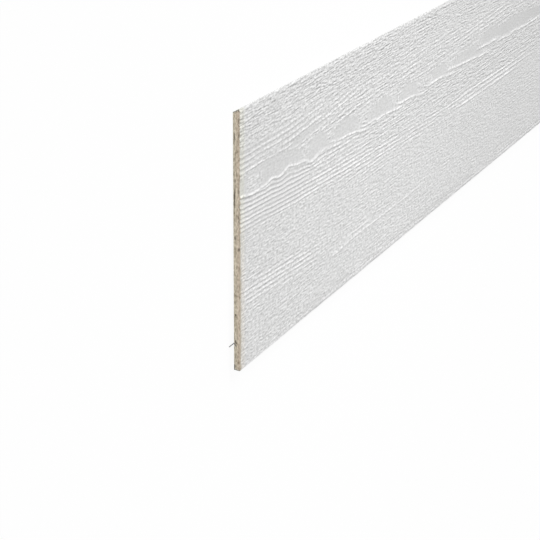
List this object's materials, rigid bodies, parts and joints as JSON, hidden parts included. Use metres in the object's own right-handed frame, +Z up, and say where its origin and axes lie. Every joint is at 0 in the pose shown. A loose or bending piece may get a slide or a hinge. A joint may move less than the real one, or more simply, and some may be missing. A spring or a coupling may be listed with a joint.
{
  "type": "lap siding board",
  "caption": "Long flat lap siding board with an embossed wood-grain face, a bevelled top edge and a folded spline in its back that hangs it on the course below.",
  "frame": {"origin": "middle of the bounding box, on the floor that the board lies on", "axes": "X along the board, with the pictured end at -X; Y across it, from the drip edge to the top edge; Z up, out of the face"},
  "size_m": [4.8768, 0.3004, 0.0153],
  "materials": {
    "primed_strand_wood": "matt light grey-white primer over embossed cedar grain on the face and long edges; raw tan strand on the ends and back",
    "grey_plastic": "plain extruded grey plastic, satin"
  },
  "bodies": {
    "root": {"siding_board": "primed_strand_wood", "alignment_spline": "grey_plastic"}
  },
  "joints": []
}
